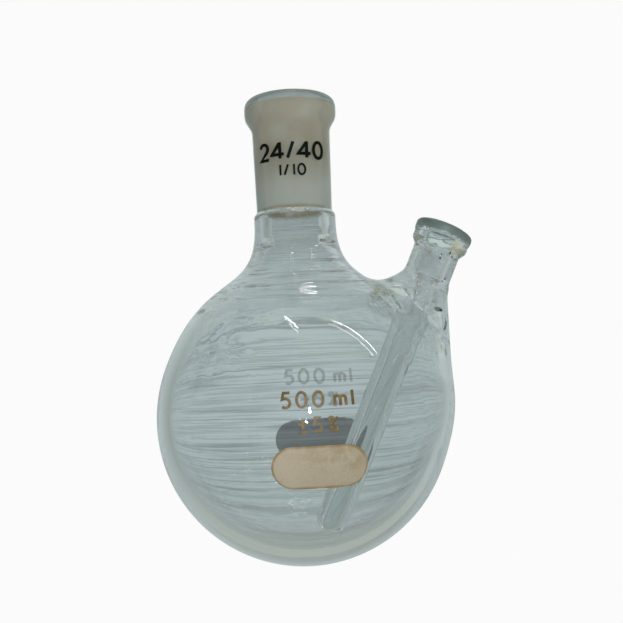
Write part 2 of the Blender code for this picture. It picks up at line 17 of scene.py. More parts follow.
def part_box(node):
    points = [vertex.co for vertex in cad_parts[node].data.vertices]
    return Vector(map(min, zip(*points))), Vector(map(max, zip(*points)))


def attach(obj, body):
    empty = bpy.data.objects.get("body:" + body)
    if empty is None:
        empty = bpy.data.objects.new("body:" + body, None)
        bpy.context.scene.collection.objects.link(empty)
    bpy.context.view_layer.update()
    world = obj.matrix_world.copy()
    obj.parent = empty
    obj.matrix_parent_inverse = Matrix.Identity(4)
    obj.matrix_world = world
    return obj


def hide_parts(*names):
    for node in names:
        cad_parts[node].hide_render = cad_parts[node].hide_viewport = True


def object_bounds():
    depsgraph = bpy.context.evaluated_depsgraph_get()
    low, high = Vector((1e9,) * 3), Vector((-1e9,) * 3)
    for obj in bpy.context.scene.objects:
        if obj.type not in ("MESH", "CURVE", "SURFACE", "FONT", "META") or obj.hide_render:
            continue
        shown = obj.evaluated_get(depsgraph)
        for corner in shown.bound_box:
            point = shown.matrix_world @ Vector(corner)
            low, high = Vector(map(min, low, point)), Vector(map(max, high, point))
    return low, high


bl_info = {
    "name": "Boiling flask",
    "version": (1, 0, 0),
    "blender": (4, 5, 0),
    "location": "3D View > Sidebar > Flask",
    "description": "Builds a two-neck boiling flask and a stage for it",
    "category": "Object",
}

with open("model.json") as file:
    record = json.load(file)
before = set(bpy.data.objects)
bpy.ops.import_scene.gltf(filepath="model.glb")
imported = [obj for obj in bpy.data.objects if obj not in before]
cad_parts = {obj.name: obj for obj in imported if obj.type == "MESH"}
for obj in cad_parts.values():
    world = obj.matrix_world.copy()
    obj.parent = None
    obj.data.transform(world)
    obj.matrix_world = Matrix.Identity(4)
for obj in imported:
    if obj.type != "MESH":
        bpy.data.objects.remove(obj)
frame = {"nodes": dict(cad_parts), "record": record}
CAD_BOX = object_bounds()

MM = 0.001
MOUNTS = {mount["name"]: mount for mount in frame["record"]["mounts"]}
BULB_LOW, BULB_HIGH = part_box("bulb")
NECK_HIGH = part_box("neck_tube")[1]
JOINT_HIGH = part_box("ground_joint")[1]
LIP_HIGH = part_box("joint_lip")[1]
SIDE_AXIS = np.array(MOUNTS["side_mouth_face"]["axis"])
SIDE_MOUTH = np.array(MOUNTS["side_mouth_face"]["pos_m"]) * (1.0, 0.0, 1.0)

UPRIGHT_NODES = ("bulb", "neck_tube", "ground_joint", "joint_lip")
SIDE_NODES = ("side_lip", "side_collar", "side_neck", "ring_seal", "thermometer_well")

# How far the dull band at the side neck's mouth, painted dark grey-green as shade, reaches down,
# and where the side neck's glass begins.
LIP_DEPTH = 1.2 * MM
LIP_START_X = 40.0 * MM

# Where dirt clings to the glass: the middle of each round place, and its reach.
RUST = (
    ((0.0589, -0.0075, 0.1102), 6.5 * MM),
    ((0.0430, -0.0040, 0.1150), 3.5 * MM),
    ((0.0480, 0.0085, 0.1130), 5.0 * MM),
)
SPECKS = (
    ((0.0540, -0.0080, 0.1060), 4.5 * MM),
    ((0.0525, -0.0070, 0.1005), 3.5 * MM),
    ((0.0499, -0.0190, 0.0556), 3.0 * MM),
    ((0.0461, -0.0072, 0.1150), 3.5 * MM),
)
OLIVE = (
    ((0.0285, -0.0183, 0.0945), 5.5 * MM),
    ((0.0500, -0.0137, 0.0745), 4.5 * MM),
)

# Where the flame left the wall uneven: middle, reach, and strength of the waves.
WORKED = (
    ((0.046, 0.0, 0.088), 26.0 * MM, 7.0),
    ((-0.024, -0.036, 0.084), 20.0 * MM, 4.0),
    ((0.036, 0.0, 0.066), 22.0 * MM, 5.0),
    ((-0.004, 0.028, 0.014), 14.0 * MM, 5.0),
)
# Heights where the lines turned into the shoulder begin and end.
TURNED_ZONE = ((87.0 * MM, 96.0 * MM), (108.0 * MM, 119.0 * MM))
TURNED_RELIEF = 6.5
STREAK_RELIEF = 0.1
WAVE_RELIEF = 0.5
GLASS_IOR = 1.474

# The card behind the glass: its place, its round part's reach by angle in degrees, and the half
# width, foot and top of its straight part.
CARD_DEPTH = 60.0 * MM
CARD_TURNS = (0, 45, 75, 105, 145, 165, 180, 225, 270, 315, 360)
CARD_REACH = (0.104, 0.092, 0.08, 0.071, 0.069, 0.083, 0.088, 0.098, 0.112, 0.110, 0.104)
CARD_CORNERS = 96
CARD_STEM = (36.0 * MM, 52.0 * MM, 210.0 * MM)
# What throws a shadow on the card, and how light the card is there.
SHADES = {"mark_shadow": 0.62, "patch_shadow": 0.29}

# Small lamps beside the camera and long ones overhead: name, both ends, width, power, and
# whether dull surfaces see it.
LAMPS = (
    ("lamp_high", (0.026, -0.349, 0.091), (0.034, -0.349, 0.091), 8.0 * MM, 0.22, True),
    ("glint", (0.030, -0.348, 0.082), (0.030, -0.348, 0.100), 3.0 * MM, 0.5, False),
    ("tube_over", (0.0, 0.12, 0.80), (0.13, 0.12, 0.80), 9.0 * MM, 0.30, False),
    ("lamp_low", (0.013, -0.352, 0.047), (0.019, -0.352, 0.047), 6.0 * MM, 0.2, True),
    ("tube_right", (0.29, -0.257, 0.803), (0.65, -0.195, 0.55), 10.0 * MM, 0.35, True),
    ("tube_left", (-0.135, -0.245, 0.849), (-0.012, -0.401, 0.798), 12.0 * MM, 0.22, True),
)
LAMP_TARGET = Vector((0.0, 0.0, 0.08))
BOUNCES = {"max": 64, "transmission": 64, "glossy": 64, "transparent_max": 16}

BULB_MARKS = ("volume_", "tolerance_")
JOINT_MARKS = ("size_", "taper_")
PATCH = "writing_patch"


def length(name, text, millimetres):
    default = millimetres * MM
    return FloatProperty(name=name, description=text, default=default, unit="LENGTH", precision=5)


def share(name, text, default):
    return FloatProperty(name=name, description=text, default=default, subtype="FACTOR")


def colour(name, text, default):
    return FloatVectorProperty(
        name=name, description=text, default=default, subtype="COLOR", size=3, min=0.0, max=1.0
    )


def angle(name, text, degrees):
    default = math.radians(degrees)
    return FloatProperty(name=name, description=text, default=default, subtype="ANGLE")


def spot(name, text, default):
    return FloatVectorProperty(
        name=name, description=text, default=default, subtype="TRANSLATION", size=3
    )


class FlaskShape(bpy.types.PropertyGroup):
    """Sizes of the glass that the frame's boxes don't tell."""

    bulb_radius: length("Bulb radius", "Outer radius of the bulb", round(BULB_HIGH.y / MM, 1))
    bulb_wall: length("Bulb wall", "Thickness of the bulb's wall", 4.0)
    bottom_extra: length("Bottom extra", "Extra thickness at the bulb's bottom", 0.9)
    shoulder_latitude: angle("Shoulder latitude", "Where the shoulder leaves the sphere", 22.2)
    shoulder_pull: length("Shoulder pull", "Pull of the shoulder's curve on the sphere", 38.4)
    neck_pull: length("Neck pull", "Pull of the shoulder's curve on the neck", 27.3)
    neck_radius: length("Neck radius", "Radius of the upright neck", 14.85)
    neck_meets: length("Neck start", "Height of the neck's start above the sphere", 17.5)
    joint_foot_radius: length("Joint foot", "Radius at the joint's foot", 13.7)
    joint_waist_radius: length("Joint waist", "Radius under the joint's rim", 14.25)
    joint_rim_radius: length("Joint rim", "Radius of the joint's rim", round(JOINT_HIGH.x / MM, 1))
    ground_top_radius: length("Ground top", "Bore at the top of the ground zone", 12.0)
    ground_foot_radius: length("Ground foot", "Bore at the foot of the ground zone", 10.0)
    side_radius: length("Side neck", "Radius of the side neck", 8.5)
    side_rim_radius: length("Side rim", "Radius of the side neck's collar", 10.6)
    side_bore_radius: length("Side bore", "Bore of the side neck", 4.2)
    side_mouth_radius: length("Side mouth", "Bore of the side neck's collar", 5.6)
    boss_radius: length("Boss", "Radius of the boss where the side neck leaves it", 9.0)
    boss_waist_radius: length("Boss waist", "Radius of the boss at its widest", 34.0)
    boss_stand_out: length("Boss stand-out", "How far the boss stands out from the bulb", 1.5)
    well_radius: length("Well", "Radius of the thermometer well", 5.8)
    well_bore_radius: length("Well bore", "Bore of the thermometer well", 2.5)
    well_depth: length("Well depth", "From the side neck's mouth to the well's tip", 117.0)
    well_tip_wall: length("Well tip", "Thickness of the well's tip", 2.0)
    net_step: length("Mesh step", "Size of the glass mesh's faces", 1.0)


class FlaskFinish(bpy.types.PropertyGroup):
    """Colours of the glass and of the marks, and the painted shade of the lips."""

    glass: colour("Glass", "Tint of the clear glass", (0.88, 0.90, 0.885))
    # Painted shade: dark grey-green standing in for the dark band that thick glass shows edge-on
    # at the lips.
    lip_painted_shade: colour("Lips", "The two fire-polished lips", (0.20, 0.26, 0.235))
    # A darker glass tint for that band, painted shade as well.
    lip_glass_painted_shade: colour("Lip glass", "Tint of the glass at the lips", (0.40, 0.50, 0.46))
    ground: colour("Ground glass", "The joint's ground zone", (0.72, 0.73, 0.66))
    grease: colour("Grease", "Old grease on the ground zone", (0.55, 0.475, 0.345))
    film: colour("Film", "Thin tan film on the side collar", (0.74, 0.68, 0.49))
    stain: colour("Stain", "Rust stain on the rims", (0.42, 0.27, 0.12))
    olive: colour("Olive stain", "Dull green film by the ring seal", (0.30, 0.33, 0.13))
    brown: colour("Brown enamel", "Marks on the bulb", (0.118, 0.074, 0.018))
    cream: colour("Cream enamel", "Writing patch", (0.46, 0.378, 0.27))
    black: colour("Black enamel", "Marks on the joint", (0.002, 0.004, 0.002))
    speck: colour("Specks", "Small dark specks by the side neck", (0.06, 0.045, 0.02))
    worn: colour("Worn enamel", "Where the enamel is rubbed off", (0.42, 0.36, 0.24))
    patch_pale: colour("Patch, pale", "Paler left end of the patch", (0.58, 0.47, 0.37))
    patch_dirt: colour("Patch, dirty", "Dirtier upper right of the patch", (0.30, 0.215, 0.10))
    patch_edge: colour("Patch edge", "Outline of the patch", (0.24, 0.14, 0.04))
    # How much of the painted-shade cover shows on the lips.
    lip_shade_share: share("Lip cover", "Share of the light that the lips scatter", 0.35)
    ground_share: share("Ground cover", "Share of the light that it scatters", 0.88)


class FlaskStage(bpy.types.PropertyGroup):
    """Floor, light and camera."""

    pale: share("Pale", "Brightness of the floor and the room", 0.965)
    surround: colour("Surround", "Grey of the card and the outer room", (0.485, 0.554, 0.585))
    surround_back: colour("Surround back", "Grey of the room's back", (0.392, 0.449, 0.438))
    surround_low: colour("Surround low", "Grey below the glass", (0.345, 0.385, 0.345))
    surround_rim: colour("Surround rim", "Grey between those two", (0.45, 0.47, 0.42))
    line_tilt: angle("Line tilt", "Lean of the lines on the card behind the glass", 0.0)
    shadow_lamp: spot("Shadow lamp", "What throws the marks' shadows", (0.001, -0.345, 0.046))
    camera_place: spot("Camera place", "Where the camera stands", (0.0045, -0.330, 0.0718))
    camera_pitch: angle("Camera pitch", "How far the camera looks up", 3.17)
    camera_roll: angle("Camera roll", "How far the camera leans to its right", 2.71)
    camera_lens: FloatProperty(name="Lens", description="Focal length in mm", default=52.46)


# Profiles and fields ------


class Profile:
    """A radius that depends on the height along an axis, with its corners rounded."""

    def __init__(self, points, rounding):
        step = 0.1 * MM
        heights, radii = zip(*points)
        self.heights = np.arange(heights[0], heights[-1], step)
        raw = np.interp(self.heights, heights, radii)
        half = max(1, round(rounding / step))
        window = np.hanning(2 * half + 3)[1:-1]
        padded = np.pad(raw, half, mode="edge")
        self.radii = np.convolve(padded, window / window.sum(), mode="valid")
        self.slopes = np.gradient(self.radii, step)

    def distance(self, radius, height):
        """About how far outside the profile a place is."""
        edge = np.interp(height, self.heights, self.radii)
        slope = np.interp(height, self.heights, self.slopes)
        return (radius - edge) / np.sqrt(1.0 + slope**2)


def smooth_min(a, b, size):
    blend = np.clip(0.5 + 0.5 * (b - a) / size, 0.0, 1.0)
    return b * (1.0 - blend) + a * blend - size * blend * (1.0 - blend)


def smooth_max(a, b, size):
    return -smooth_min(-a, -b, size)


def sphere_distance(places, centre, radius):
    return np.linalg.norm(places - np.array(centre), axis=1) - radius


def capsule_distance(places, start, end, radius):
    along = end - start
    part = np.clip((places - start) @ along / (along @ along), 0.0, 1.0)
    return np.linalg.norm(places - start - part[:, None] * along, axis=1) - radius


def round_cone_distance(places, start, end, start_radius, end_radius):
    """Distance to the hull of two balls."""
    axis = end - start
    reach = np.linalg.norm(axis)
    axis = axis / reach
    along = (places - start) @ axis
    across = np.linalg.norm(places - start - along[:, None] * axis, axis=1)
    lean = (start_radius - end_radius) / reach
    rise = math.sqrt(1.0 - lean**2)
    foot = np.clip(along - across * lean / rise, 0.0, reach)
    radius = start_radius + (end_radius - start_radius) * foot / reach
    return np.hypot(along - foot, across) - radius


def shoulder_curve(shape, shares):
    """(height, radius) points of the shoulder's curve, from the sphere to the neck."""
    out = np.array((math.sin(shape.shoulder_latitude), math.cos(shape.shoulder_latitude)))
    centre = np.array((shape.bulb_radius, 0.0))
    start = centre + shape.bulb_radius * out
    leave = start + shape.shoulder_pull * np.array((out[1], -out[0]))
    end = np.array((2 * shape.bulb_radius + shape.neck_meets, shape.neck_radius))
    arrive = end - np.array((shape.neck_pull, 0.0))
    t = shares[:, None]
    s = 1.0 - t
    return s**3 * start + 3 * s**2 * t * leave + 3 * s * t**2 * arrive + t**3 * end


def ball_points(centre, radius, top):
    """(height, radius) points of a ball, on the stretch below a height."""
    heights = np.linspace(top - 8.0 * MM, top, 30)[:-1]
    return [(height, math.sqrt(radius**2 - (height - centre) ** 2)) for height in heights]


# The directions and the starts of the waves that a ripple is made of.
RIPPLES = ((0.9, 0.2, 0.5, 0.3), (-0.4, 0.8, 0.6, 1.9), (0.3, -0.7, 0.9, 4.1))
RIPPLES += ((0.7, 0.6, -0.8, 2.7), (-0.6, 0.3, 1.2, 5.2))


def ripple(places, size):
    """Uneven waves of about a given length, from -1 to 1."""
    total = 0.0
    for *direction, start in RIPPLES:
        total = total + np.sin(places @ (np.array(direction) * math.tau / size) + start)
    return total / len(RIPPLES)


def side_places(places):
    """Depth below the side neck's mouth, and radius round its axis."""
    depth = (SIDE_MOUTH - places) @ SIDE_AXIS
    return depth, np.linalg.norm(places - SIDE_MOUTH + depth[:, None] * SIDE_AXIS, axis=1)


def fading(value, full, gone):
    """1 up to one value and 0 past another, with smooth ends."""
    part = np.clip((gone - value) / (gone - full), 0.0, 1.0)
    return part * part * (3.0 - 2.0 * part)


LIP_ROUNDING = 4.2 * MM
SIDE_LIP_ROUNDING = 1.3 * MM
SIDE_LIP_CROWN = 1.75 * MM
SIDE_LIP_LEAN = np.array((0.04, 0.07, 0.0))
SEAL_RIPPLE = 0.4 * MM
SHOULDER_RIPPLE = 0.2 * MM
WELL_RIPPLE = 0.09 * MM
WELL_TOP_RIPPLE = 0.12 * MM
BOSS_BLEND = 5.0 * MM
SIDE_BLEND = 1.6 * MM
SEAL_BLEND = 1.6 * MM
WALL_ROUNDING = 0.6 * MM
BORE_ROUNDING = 0.5 * MM
OUTER_ROUNDING = 0.9 * MM
INNER_ROUNDING = 0.45 * MM
SIDE_BORE_ROUNDING = 0.7 * MM
PROFILE_START = 4.0 * MM
BOSS_LIFT = 6.5 * MM
BOSS_SLACK = 0.4 * MM
# Depths below the side neck's mouth:
BOSS_TOP = 22.0 * MM
BOSS_HOLLOW_TOP = 30.0 * MM
SEAL_DEPTH = 27.0 * MM
WELL_TOP = 20.0 * MM
WELL_BORE_TOP = 30.0 * MM
SIDE_BORE_END = 40.0 * MM
SIDE_END = 50.0 * MM


class FlaskField:
    """The glass as a field: negative in the wall, zero on its surface."""

    def __init__(self, shape):
        self.shape = shape
        self.centre = np.array((0.0, 0.0, shape.bulb_radius))
        rise = math.sin(shape.shoulder_latitude)
        lift = shape.bottom_extra / (1.0 + rise)
        self.cavity_centre = self.centre + (0.0, 0.0, lift)
        self.cavity_radius = shape.bulb_radius - shape.bulb_wall - lift * rise
        curve = shoulder_curve(shape, np.linspace(0.0, 1.0, 200))
        self.leave = curve[0, 0]
        self.outer = Profile(self.outer_points(curve), OUTER_ROUNDING)
        self.inner = Profile(self.inner_points(curve), INNER_ROUNDING)
        self.side_outer = Profile(self.side_outer_points(), OUTER_ROUNDING)
        self.side_bore = Profile(self.side_bore_points(), SIDE_BORE_ROUNDING)
        reach = shape.bulb_radius + shape.boss_stand_out - shape.boss_waist_radius
        self.boss_low = np.array((reach, 0.0, shape.bulb_radius + BOSS_LIFT))
        self.boss_high = self.below_mouth(BOSS_TOP)
        self.boss_hollow_high = self.below_mouth(BOSS_HOLLOW_TOP)
        self.well_tip = self.below_mouth(shape.well_depth - shape.well_radius)
        tip_depth = shape.well_depth - shape.well_tip_wall - shape.well_bore_radius
        self.bore_tip = self.below_mouth(tip_depth)

    def below_mouth(self, depth):
        return SIDE_MOUTH - depth * SIDE_AXIS

    def outer_points(self, curve):
        """The outside: ball, shoulder, neck, joint, and the swell up to the joint's rim."""
        shape = self.shape
        foot = NECK_HIGH.z
        waist, band = JOINT_HIGH.z - 9.4 * MM, JOINT_HIGH.z - 3.0 * MM
        narrow, wide = shape.joint_waist_radius, shape.joint_rim_radius
        points = ball_points(shape.bulb_radius, shape.bulb_radius, self.leave)
        points += [tuple(point) for point in curve]
        points += [(foot, shape.neck_radius), (foot + 1.2 * MM, shape.joint_foot_radius)]
        for part in np.linspace(0.0, 1.0, 11):
            radius = narrow + (wide - narrow) * (1 - math.cos(part * math.pi)) / 2
            points.append((waist + part * (band - waist), radius))
        points.append((LIP_HIGH.z + 10.0 * MM, wide))
        return points

    def inner_points(self, curve):
        """The bore: the shoulder moved inwards by the wall, then the neck and the ground cone."""
        shape = self.shape
        along = np.gradient(curve, axis=0)
        along /= np.linalg.norm(along, axis=1)[:, None]
        moved = curve + shape.bulb_wall * np.stack((along[:, 1], -along[:, 0]), axis=1)
        seam = BULB_HIGH.z
        first = moved[0, 0]
        points = ball_points(self.cavity_centre[2], self.cavity_radius, first)
        points += [tuple(point) for point in moved if first < point[0] < seam]
        foot, top = shape.ground_foot_radius, shape.ground_top_radius
        return points + [
            (seam + 1.0 * MM, points[-1][1] - 0.6 * MM),
            (seam + 3.2 * MM, foot + 0.6 * MM),
            (seam + 5.0 * MM, foot),
            (NECK_HIGH.z, foot),
            (JOINT_HIGH.z, top),
            (LIP_HIGH.z - 1.0 * MM, top),
            (LIP_HIGH.z + 4.0 * MM, top + 5.0 * MM),
        ]

    def side_outer_points(self):
        """Outer radius of the side neck, by depth below its mouth."""
        rim, tube = self.shape.side_rim_radius, self.shape.side_radius
        collar = ((-5.0, rim), (1.4, rim), (1.9, rim - 0.4 * MM), (4.6, rim - 0.35 * MM))
        neck = ((6.9, tube), (17.6, tube), (19.1, tube + 0.55 * MM), (20.8, tube + 0.1 * MM))
        boss = ((24.0, self.shape.boss_radius), (60.0, self.shape.boss_radius))
        return [(depth * MM, radius) for depth, radius in collar + neck + boss]

    def side_bore_points(self):
        """Bore of the side neck, by depth below its mouth."""
        shape = self.shape
        mouth, tube, well = shape.side_mouth_radius, shape.side_bore_radius, shape.well_bore_radius
        collar = ((-4.0, mouth + 5.0 * MM), (1.2, mouth), (5.6, mouth))
        neck = ((7.8, tube), (17.8, tube), (20.4, well), (60.0, well))
        return [(depth * MM, radius) for depth, radius in collar + neck]

    def outside(self, places, radius):
        """The whole flask without its hollows."""
        shape = self.shape
        height = places[:, 2]
        ball = sphere_distance(places, self.centre, shape.bulb_radius)
        turned = self.outer.distance(radius, height)
        body = np.where(height < self.leave - PROFILE_START, ball, turned)
        body = smooth_max(body, height - LIP_HIGH.z, LIP_ROUNDING)
        ends = (self.boss_low, self.boss_high)
        boss = round_cone_distance(places, *ends, shape.boss_waist_radius, shape.boss_radius)
        return smooth_min(body, boss, BOSS_BLEND)

    def unevenness(self, places, depth, side_radius):
        """Waves that the flame left inside the shoulder and round the ring seal."""
        seal = fading(np.abs(depth - SEAL_DEPTH), 6.0 * MM, 18.0 * MM)
        seal = seal * fading(side_radius, 14.0 * MM, 26.0 * MM)
        height = places[:, 2]
        shoulder = fading(np.abs(height - BULB_HIGH.z + 11.0 * MM), 6.0 * MM, 20.0 * MM)
        waves = ripple(places, 10.0 * MM) + 0.2 * ripple(places, 4.5 * MM)
        bands = ripple(places * (0.45, 0.45, 1.3), 8.0 * MM)
        return SEAL_RIPPLE * seal * waves + SHOULDER_RIPPLE * shoulder * bands

    def __call__(self, places):
        """The field at some places, near the surface about the distance to it."""
        shape = self.shape
        radius = np.hypot(places[:, 0], places[:, 1])
        depth, side_radius = side_places(places)
        side = self.side_outer.distance(side_radius, depth)
        rim = SIDE_LIP_CROWN - (places - SIDE_MOUTH) @ SIDE_LIP_LEAN
        side = smooth_max(side, -depth - rim, SIDE_LIP_ROUNDING)
        side = np.maximum(side, depth - SIDE_END)
        solid = smooth_min(self.outside(places, radius), side, SIDE_BLEND)
        hollow = sphere_distance(places, self.cavity_centre, self.cavity_radius)
        bore = self.inner.distance(radius, places[:, 2])
        hollow = np.where(places[:, 2] < self.leave - PROFILE_START, hollow, bore)
        ends = (self.boss_low, self.boss_hollow_high)
        waist = shape.boss_waist_radius - shape.bulb_wall
        boss_hollow = round_cone_distance(places, *ends, waist, shape.well_radius + BOSS_SLACK)
        hollow = smooth_min(hollow, boss_hollow, BOSS_BLEND)
        hollow = hollow + self.unevenness(places, depth, side_radius)
        glass = smooth_max(solid, -hollow, WALL_ROUNDING)
        top = self.below_mouth(WELL_TOP)
        well = capsule_distance(places, top, self.well_tip, shape.well_radius)
        upset = WELL_RIPPLE + WELL_TOP_RIPPLE * fading(depth, 34.0 * MM, 58.0 * MM)
        well = well + upset * ripple(places * (1.0, 1.0, 0.6), 8.0 * MM)
        glass = smooth_min(glass, well, SEAL_BLEND)
        top = self.below_mouth(WELL_BORE_TOP)
        well_bore = capsule_distance(places, top, self.bore_tip, shape.well_bore_radius)
        upper_bore = self.side_bore.distance(side_radius, depth)
        upper_bore = np.maximum(upper_bore, depth - SIDE_BORE_END)
        return smooth_max(glass, -np.minimum(well_bore, upper_bore), BORE_ROUNDING)


# Meshing ------


CELL_MARGIN = 2.5
LEAST_SLOPE = 0.05
EVENING_TURNS = 3
CORNERS = np.array([(i, j, k) for i in (0, 1) for j in (0, 1) for k in (0, 1)])
PAIRS = [(a, b) for a in range(len(CORNERS)) for b in range(a + 1, len(CORNERS))]
EDGES = [(a, b) for a, b in PAIRS if np.abs(CORNERS[a] - CORNERS[b]).sum() == 1]


def sampled(field, low, step, counts):
    """The field's values on a grid, one sheet at a time."""
    axes = [low[axis] + step * np.arange(counts[axis]) for axis in range(3)]
    y, z = np.meshgrid(axes[1], axes[2], indexing="ij")
    values = np.empty(counts)
    for index, x in enumerate(axes[0]):
        places = np.stack((np.full(y.size, x), y.ravel(), z.ravel()), axis=1)
        values[index] = field(places).reshape(y.shape)
    return values


def surface_net(field, low, high, step):
    """Points and four-sided faces of the surface where the field is zero."""
    low = np.array(low) - CELL_MARGIN * step
    counts = tuple(np.ceil((np.array(high) - low) / step).astype(int) + 3)
    values = sampled(field, low, step, counts)
    inside = values < 0.0
    size = tuple(np.array(counts) - 1)
    total = np.zeros(size, dtype=np.int8)
    for i, j, k in CORNERS:
        total += inside[i : i + size[0], j : j + size[1], k : k + size[2]]
    cells = np.argwhere((total > 0) & (total < len(CORNERS)))
    at_corners = np.stack([values[tuple((cells + corner).T)] for corner in CORNERS], axis=1)
    points = np.zeros((len(cells), 3))
    crossings = np.zeros(len(cells))
    for a, b in EDGES:
        first, second = at_corners[:, a], at_corners[:, b]
        crossed = (first < 0.0) != (second < 0.0)
        part = np.where(crossed, first / np.where(crossed, first - second, 1.0), 0.0)
        places = CORNERS[a] + part[:, None] * (CORNERS[b] - CORNERS[a])
        points += places * crossed[:, None]
        crossings += crossed
    points = low + step * (cells + points / crossings[:, None])
    number = np.full(size, -1)
    number[tuple(cells.T)] = np.arange(len(cells))
    return points, net_faces(inside, number)


def net_faces(inside, number):
    """One face round each grid edge that crosses the surface, facing out."""
    faces = []
    for axis in range(3):
        side, up = (axis + 1) % 3, (axis + 2) % 3
        here = np.moveaxis(inside, (axis, side, up), (0, 1, 2))
        cell = np.moveaxis(number, (axis, side, up), (0, 1, 2))
        start, end = here[:-1, 1:-1, 1:-1], here[1:, 1:-1, 1:-1]
        i, j, k = np.nonzero(start != end)
        ring = [cell[i, j, k], cell[i, j + 1, k], cell[i, j + 1, k + 1], cell[i, j, k + 1]]
        quads = np.stack(ring, axis=1)
        inwards = ~start[i, j, k]
        quads[inwards] = quads[inwards][:, ::-1]
        faces.append(quads)
    return np.concatenate(faces)


def face_centres(mesh):
    centres = np.empty(3 * len(mesh.polygons))
    mesh.polygons.foreach_get("center", centres)
    return centres.reshape(-1, 3)


def ground_faces(centres, shape):
    """The faces of the joint's bore, with a face's width to spare at both ends."""
    x, y, z = centres.T
    low, high = NECK_HIGH.z, JOINT_HIGH.z
    bore = np.interp(z, (low, high), (shape.ground_foot_radius, shape.ground_top_radius))
    spare, rise = 1.5 * MM, 0.8 * MM
    return (z > low - spare) & (z < high + spare) & (np.hypot(x, y) < bore + rise)


def lip_faces(centres, shape):
    """The faces of both lips and of some glass below them, without their bores."""
    x, y, z = centres.T
    depth, off_axis = side_places(centres)
    side = (depth < LIP_DEPTH + MM) & (off_axis > shape.side_mouth_radius + MM)
    upright = (z > JOINT_HIGH.z - MM) & (np.hypot(x, y) > shape.ground_top_radius + MM)
    return side & (x > LIP_START_X) | upright


def stained_faces(centres):
    stains = RUST + SPECKS + OLIVE
    away = [np.linalg.norm(centres - np.array(place), axis=1) / reach for place, reach in stains]
    return np.min(away, axis=0) < 1.0


def slope_of(field, places):
    """The field's slope by differences, which is the surface's direction."""
    reach = 0.05 * MM
    slope = np.empty_like(places)
    for axis in range(3):
        shift = np.zeros(3)
        shift[axis] = reach
        slope[:, axis] = (field(places + shift) - field(places - shift)) / (2 * reach)
    return slope


def on_surface(field, places, step):
    """Places moved onto the surface along its slope, in two goes of a step at most."""
    for _ in range(2):
        slope = slope_of(field, places)
        move = field(places) / np.maximum((slope**2).sum(axis=1), LEAST_SLOPE)
        places = places - np.clip(move, -step, step)[:, None] * slope
    return places


def settled(field, places, faces, step):
    """Points evened out along the surface and put exactly on it."""
    for _ in range(EVENING_TURNS):
        total = np.zeros_like(places)
        count = np.zeros(len(places))
        for corner in range(4):
            for other in (1, 3):
                near = faces[:, (corner + other) % 4]
                np.add.at(total, faces[:, corner], places[near])
                np.add.at(count, faces[:, corner], 1.0)
        places = 0.5 * places + 0.5 * total / count[:, None]
        places = on_surface(field, places, step)
    return on_surface(field, places, step)


def directions_of(field, places):
    slope = slope_of(field, places)
    return slope / np.linalg.norm(slope, axis=1)[:, None]


def split_bends(bm, directions, limit):
    """Cut in four the faces that turn away from the surface's own direction."""
    least = math.cos(limit)
    bm.normal_update()
    bm.verts.index_update()
    turns = [Vector(direction) for direction in directions]
    bent = set()
    for face in bm.faces:
        if any(face.normal.dot(turns[vert.index]) < least for vert in face.verts):
            bent.update(face.edges)
    bmesh.ops.subdivide_edges(bm, edges=list(bent), cuts=1, use_grid_fill=True)


def bm_places(bm):
    return np.array([tuple(vert.co) for vert in bm.verts])


def put_places(bm, places):
    for vert, place in zip(bm.verts, places.tolist()):
        vert.co = place


def field_mesh(name, field, low, high, step, bends):
    """The field's surface: an even net, with smaller faces where it bends sharply."""
    points, faces = surface_net(field, low, high, step)
    points = settled(field, points, faces, step)
    bm = bmesh.new()
    verts = [bm.verts.new(point) for point in points.tolist()]
    for face in faces.tolist():
        bm.faces.new([verts[index] for index in face])
    for limit in bends:
        places = bm_places(bm)
        split_bends(bm, directions_of(field, places), limit)
        put_places(bm, on_surface(field, bm_places(bm), 0.2 * step))
    mesh = bpy.data.meshes.new(name)
    bm.to_mesh(mesh)
    places = bm_places(bm)
    bm.free()
    mesh.shade_smooth()
    mesh.normals_split_custom_set_from_vertices(directions_of(field, places).astype(np.float32))
    return mesh


# Shader maths ------


class Value:
    """A socket of a node tree. Arithmetic on it adds Math nodes."""

    def __init__(self, finish, socket):
        self.finish, self.socket = finish, socket

    def _math(self, operation, first, second=0.0):
        return self.finish.value("ShaderNodeMath", {0: first, 1: second}, operation=operation)

    def __add__(self, other):
        return self._math("ADD", self, other)

    def __sub__(self, other):
        return self._math("SUBTRACT", self, other)

    def __rsub__(self, other):
        return self._math("SUBTRACT", other, self)

    def __mul__(self, other):
        return self._math("MULTIPLY", self, other)

    def __pow__(self, other):
        return self._math("POWER", self, other)

    def __abs__(self):
        return self._math("ABSOLUTE", self)

    def at_least(self, other):
        return self._math("MAXIMUM", self, other)

    def above(self, low, high):
        """0 under low, 1 over high, and smooth between them."""
        inputs = {0: self, 1: low, 2: high}
        return self.finish.value("ShaderNodeMapRange", inputs, interpolation_type="SMOOTHSTEP")

    def below(self, low, high):
        return 1.0 - self.above(low, high)

    __radd__ = __add__
    __rmul__ = __mul__


